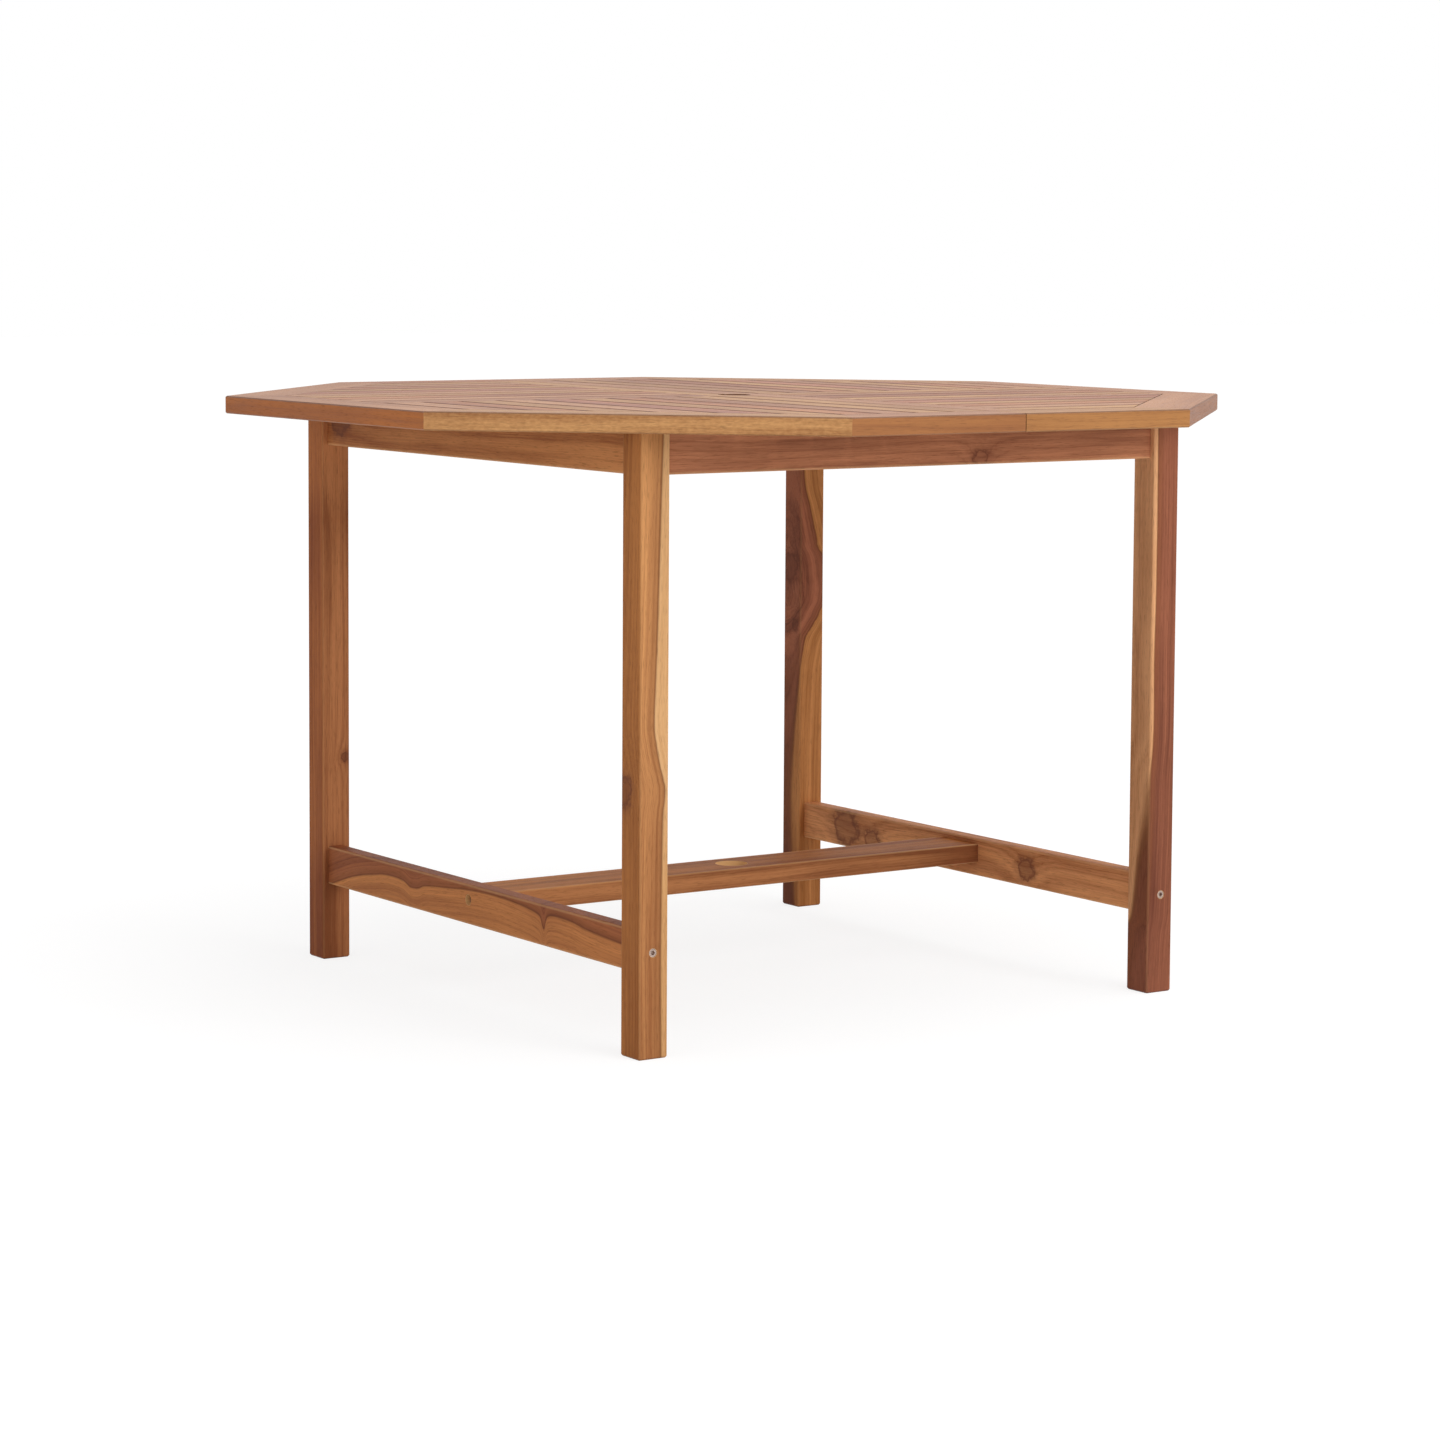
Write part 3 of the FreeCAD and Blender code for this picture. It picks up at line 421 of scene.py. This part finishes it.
# Legs
teak("leg_front_left", Z, X, ("#D0945E", "#9C643D"), flank_cut_and_shade=("#BC7A44", "#8F542A"),
     sap=("#DDAE7C", "#C08C58"), pith=(-64, 26), heart_radius=79, ring=4.2, wander=1.0, contrast=0.9,
     seed=1, knots=[(-52, -20, 12, 17, 4)], bores=[(-239, -1, 5.3)], edge_wear_and_highlight=0.2,
     tone_along_length=[(0.05, -0.15), (0.3, -0.1), (0.45, 0), (0.7, 0), (0.9, 0.24)],
     sway=[(-364, 10), (-260, 9), (-180, 9.5), (-100, 11), (-75, 12.5), (-52, 15), (-40, 13), (-22, 8),
           (5, 2), (30, -1), (66, 0), (120, 2), (188, 4), (311, 8), (364, 10)])
teak("leg_front_right", Z, X, ("#9C6047", "#67392B"), sap=("#DEA678", "#A87049"),
     pith=(80, -20), heart_radius=98, ring=4.5, wander=0.8, contrast=0.8, seed=2,
     bores=[(-239, 1, 5.3)], edge_wear_and_highlight=0.15,
     tone_along_length=[(0.1, 0.05), (0.35, -0.15), (0.6, 0), (0.85, 0.3), (1, 0.4)],
     sway=[(-364, -15), (-290, -11), (-265, -6.5), (-190, -3.3), (-150, -1.9), (-90, -0.5),
           (-30, 3.5), (60, 3), (150, 4.5), (364, 4)])
# The tone at its foot is painted darker: painted shade near the floor, under the rail
teak("leg_back_left", Z, X, ("#CA8758", "#905534"), flank_cut_and_shade=("#B26C3D", "#854626"),
     pith=(-40, 60), ring=6, wander=6, seed=3, knots=[(-97, 13, -20, 6, 7)], edge_wear_and_highlight=0.2,
     tone_along_length=[(0.12, -0.45), (0.22, 0), (0.7, 0), (0.8, -0.12), (0.86, 0.3), (0.95, 0.5)])
# The tone at its foot is painted darker: painted shade near the floor
teak("leg_back_right", Z, X, ("#AA694D", "#6D3D2D"), sap=("#CB8B55", "#9F6537"),
     pith=(-70, 10), heart_radius=70, ring=5, wander=1.5, seed=4,
     knots=[(122, -20, 3, 19, 14), (40, -20, -8, 8, 6)], edge_wear_and_highlight=0.2,
     tone_along_length=[(0.1, -0.45), (0.22, 0), (0.75, 0), (0.92, 0.5)],
     sway=[(-364, -17), (-57, -16), (6, -8), (39, 9), (57, 20), (106, 34), (154, 20), (207, 3.5),
           (257, -8.4), (364, -12)])

# Aprons under the top
teak("apron_front", X, Z, ("#C88661", "#8C563E"), pith=(-40, 70), ring=6, seed=5,
     knots=[(94, -17, 11, 11, 9)], knot_fill=0.2, tone_along_length=[(0.5, 0), (0.9, 0.2)])
teak("apron_left", Y, Z, ("#D6915A", "#9C5B33"), pith=(30, -80), ring=7, seed=6,
     knots=[(330, 12, -11, 24, 6)], tone_along_length=[(0.05, 0.15), (0.3, 0), (0.7, 0), (0.9, -0.1)])
teak("apron_back", X, Z, ORANGE, pith=(-20, -90), ring=6, seed=7)
teak("apron_right", Y, Z, RUSSET, pith=(25, 85), ring=6, seed=8)

# Low rails and stretcher
teak("end_rail_left", Y, Z, ("#B36C43", "#80472E"), sap=("#CF8850", "#A2633B"), pith=(60, 10),
     heart_radius=62, ring=6, wander=1.0, contrast=0.8, seed=9, bores=[(0, 5.5, 6.8)],
     sway=[(-361, 2.4), (-308, 5.4), (-274, 8.1), (-234, 12.9), (-203, 13.3), (-184, 8.1), (-179, -6),
           (-174, 3), (-167, 9.9), (-142, 14.3), (-105, 17.2), (-52, 18.7), (2, 16.6), (57, 11.7),
           (108, 6.6), (142, 0), (153, 3), (171, 7.2), (200, 7.8), (241, 3.3), (288, -5),
           (331, -17), (361, -27)])
teak("end_rail_right", Y, Z, ("#E29E6A", "#A3623C"), pith=(-30, 80), ring=6, seed=10,
     knots=[(-143, -2, -11, 16, 9), (262, 2, -11, 27, 9), (200, -9, -11, 17, 5)], knot_fill=0.45,
     tone_along_length=[(0.4, 0), (0.7, 0.1)])
teak("centre_stretcher", X, Y, ("#C9803A", "#915020"), flank_cut_and_shade=("#B97C4F", "#824D2F"),
     pith=(-70, -60), ring=6, seed=11, bores=[(0, 0, 21)],
     tone_along_length=[(0.1, 0.3), (0.45, 0), (0.7, -0.2), (0.95, -0.4)])

# Rim of the top
# Only the eased edges round the top are darker: painted shade along them
RIM = dict(ring=7, contrast=0.7, edge_wear_and_highlight=0, shade=0.65, shade_from=0.2, gloss=0.3)
teak("rim_left", Y, X, TAN, flank_cut_and_shade=("#B46412", "#874208"), pith=(60, -90), seed=12,
     tone_along_length=[(0.1, 0.3), (0.4, 0)], **RIM)
teak("rim_corner_front_left", FRONT_RIGHT, BACK_RIGHT, GOLDEN, flank_cut_and_shade=("#CF9A62", "#9D673A"),
     pith=(-20, 90), fleck=1.0, seed=13, **RIM)
teak("rim_front_half_left", X, Y, TAN, flank_cut_and_shade=("#A86E3A", "#804B27"), pith=(70, -60), seed=14, **RIM)
teak("rim_front_half_right", X, Y, GOLDEN, flank_cut_and_shade=("#B47D45", "#875327"), pith=(70, 60), seed=15, **RIM)
teak("rim_corner_front_right", BACK_RIGHT, -FRONT_RIGHT, TAN, flank_cut_and_shade=("#9B6236", "#743E1B"),
     pith=(40, -60), seed=16, **RIM)
teak("rim_right", Y, X, TAN, pith=(-60, -60), seed=17, **RIM)
teak("rim_corner_back_right", FRONT_RIGHT, BACK_RIGHT, GOLDEN, pith=(40, -80), seed=18, **RIM)
teak("rim_back_half_right", X, Y, TAN, pith=(-50, -70), seed=19, **RIM)
teak("rim_back_half_left", X, Y, ORANGE, pith=(-50, 70), seed=20, **RIM)
teak("rim_corner_back_left", BACK_RIGHT, -FRONT_RIGHT, TAN, pith=(50, 70), seed=21, **RIM)

# Stiles and cross rails in the field of the top
# Their sides and the walls of their holes are darker: painted shade, with some dust and old oil
STILE = dict(ring=6, contrast=1.15, edge_wear_and_highlight=0, shade=0.75, gloss=0.3)
teak("leaf_stile_left", Y, X, GOLDEN, pith=(30, -90), seed=22, **STILE)
teak("leaf_stile_right", Y, X, TAN, pith=(-30, -90), seed=23, **STILE)
teak("cross_rail_left", X, Y, TAN, pith=(20, -100), seed=24, **STILE)
teak("cross_rail_right", X, Y, GOLDEN, pith=(-20, -100), seed=25, **STILE)

# Slats of the top
# The tree's centre lies elsewhere under each slat, so that they don't repeat one another
# Their sides are darker: painted shade in the gaps between the slats, with some dust and old oil
SLAT = dict(ring=5.5, contrast=1.25, edge_wear_and_highlight=0, shade=0.9, gloss=0.3, folded=True)
SLAT_TONES = [TAN, ORANGE, GOLDEN, TAN, RUSSET, GOLDEN, ORANGE, TAN, GOLDEN]
for number, tones in enumerate(SLAT_TONES, start=1):
    lean = 17 * ((number * 5) % 7 - 3)
    teak(f"slat_along_{number}", X, Y, tones, pith=(lean, -70 - 9 * (number % 4)), seed=25 + number,
         **SLAT)
    teak(f"slat_across_{number}", Y, X, SLAT_TONES[-number], pith=(-lean, -80 + 7 * (number % 5)),
         seed=40 + number, **SLAT)

# Battens and corner blocks under the top
teak("top_batten_front", X, Y, ORANGE, pith=(10, -90), ring=7, seed=60)
teak("top_batten_back", X, Y, TAN, pith=(-10, -90), ring=7, seed=61)
BLOCK = dict(heart=ORANGE, pith=(20, 60), ring=6)
teak("corner_block_front_left", FRONT_RIGHT, BACK_RIGHT, seed=62, **BLOCK)
teak("corner_block_front_right", BACK_RIGHT, -FRONT_RIGHT, seed=63, **BLOCK)
teak("corner_block_back_left", BACK_RIGHT, -FRONT_RIGHT, seed=64, **BLOCK)
teak("corner_block_back_right", FRONT_RIGHT, BACK_RIGHT, seed=65, **BLOCK)

# Fasteners
bright_bolt = zinc_plated_steel("zinc plated steel, bolt heads", ("#C6B0A2", "#92807A"), 0.38)
dull_nut = zinc_plated_steel("zinc plated steel, nuts and screws", ("#B9B8B4", "#8F8E8B"), 0.42)
for name in ("rail_bolts", "stretcher_bolts"):
    wear(nodes[name], bright_bolt)
for name in ("rail_barrel_nuts", "stretcher_barrel_nuts", "hanger_rods", "hanger_washers",
             "hanger_nuts", "top_screws"):
    wear(nodes[name], dull_nut)
dowel_wood = raw_beech("raw beech, dowels")
for name in ("rail_dowels", "stretcher_dowels"):
    wear(nodes[name], dowel_wood)


def background_shows(tree):
    """1 for a ray that shows the studio itself: seen, mirrored or through something clear."""
    path = add(tree, "LightPath")
    shows = add(tree, "Math", (path.outputs["Is Camera Ray"], path.outputs["Is Glossy Ray"]),
                operation="MAXIMUM").outputs[0]
    return add(tree, "Math", (shows, path.outputs["Is Transmission Ray"]), operation="MAXIMUM").outputs[0]


def studio_floor():
    """A wide matt floor, painted off white, which shows as white paper with soft shadows."""
    bpy.ops.object.select_all(action="DESELECT")
    bpy.ops.mesh.primitive_plane_add(size=60, location=(0, 0, 0))
    floor = bpy.context.object
    floor.name = "studio_floor"
    material, tree = blank_material("matt off-white paint, floor")
    place = add(tree, "TexCoord").outputs["Object"]
    # Roller stipple, about 20 mm across
    stipple = add(tree, "TexNoise", {"Vector": place, "Scale": 1000 / 20, "Detail": 2.0}).outputs["Fac"]
    paint = add(tree, "ValToRGB", (stipple,), [(0.3, "#E7E6E4"), (0.7, "#EBEAE8")]).outputs["Color"]
    matt = add(tree, "BsdfDiffuse", (paint,)).outputs[0]
    seen = add(tree, "BsdfDiffuse", ("#808080",)).outputs[0]
    # The paper glows a little more from 1 m out to 4 m, where the lamps reach less
    away = add(tree, "VectorMath", (place,), operation="LENGTH").outputs["Value"]
    away = add(tree, "Math", (away, 0.25), operation="MULTIPLY").outputs[0]
    glow = add(tree, "ValToRGB", (away,), [(0.25, 0.82), (1.0, 0.91)]).outputs["Color"]
    white = add(tree, "Emission", {"Color": (1, 1, 1, 1), "Strength": glow}).outputs[0]
    seen = add(tree, "AddShader", (seen, white)).outputs[0]
    mix = add(tree, "MixShader", (background_shows(tree), matt, seen)).outputs[0]
    add(tree, "OutputMaterial", (mix,))
    wear(floor, material)


def studio_light():
    """A white room and three large soft lamps."""
    world = bpy.data.worlds.new("white studio")
    bpy.context.scene.world = world
    world.use_nodes = True
    tree = world.node_tree
    tree.nodes.clear()
    # The room lights the table at 0.55, and itself shows as white
    strength = add(tree, "Math", (background_shows(tree), 0.45, 0.55), operation="MULTIPLY_ADD").outputs[0]
    room = add(tree, "Background", {"Color": (1, 1, 1, 1), "Strength": strength}).outputs[0]
    add(tree, "OutputWorld", (room,))
    table_middle = Vector((0, 0, 0.4))
    # Name, place and width in metres, and power in watts
    for name, spot, size, power in (("top_softbox", (0.4, -0.6, 3.2), 3.0, 76),
                                    ("front_softbox", (0.9, -4.2, 2.2), 2.4, 76),
                                    ("side_softbox", (-4.2, -0.6, 2.0), 2.4, 9)):
        lamp = bpy.data.lights.new(name, "AREA")
        lamp.shape = "SQUARE"
        lamp.size = size
        lamp.energy = power
        holder = bpy.data.objects.new(name, lamp)
        bpy.context.scene.collection.objects.link(holder)
        holder.location = spot
        holder.rotation_euler = (table_middle - Vector(spot)).to_track_quat("-Z", "Y").to_euler()


def photo_camera():
    """The photograph's camera, fitted to the edges and corners measured in it.

    It stands 5 m away, just above the top, and its frame is shifted down a little.
    """
    sensor_width = 36
    # In pixels of the photograph
    picture_width, focal_length = 1440, 3934.1
    camera = bpy.data.cameras.new("photo_camera")
    camera.sensor_width = sensor_width
    camera.lens = sensor_width * focal_length / picture_width
    camera.shift_y = -0.1
    camera.clip_end = 200
    holder = bpy.data.objects.new("photo_camera", camera)
    bpy.context.scene.collection.objects.link(holder)
    forward = Vector((0.558406, 0.825190, -0.085117))
    right = Vector((0.828459, -0.560019, 0.005809))
    up = right.cross(forward)
    turn = Matrix((right, up, -forward)).transposed().to_4x4()
    holder.matrix_world = Matrix.Translation((-2.842546, -4.170255, 0.947580)) @ turn
    bpy.context.scene.camera = holder


studio_floor()
studio_light()
photo_camera()

bpy.context.scene.view_settings.view_transform = "Standard"
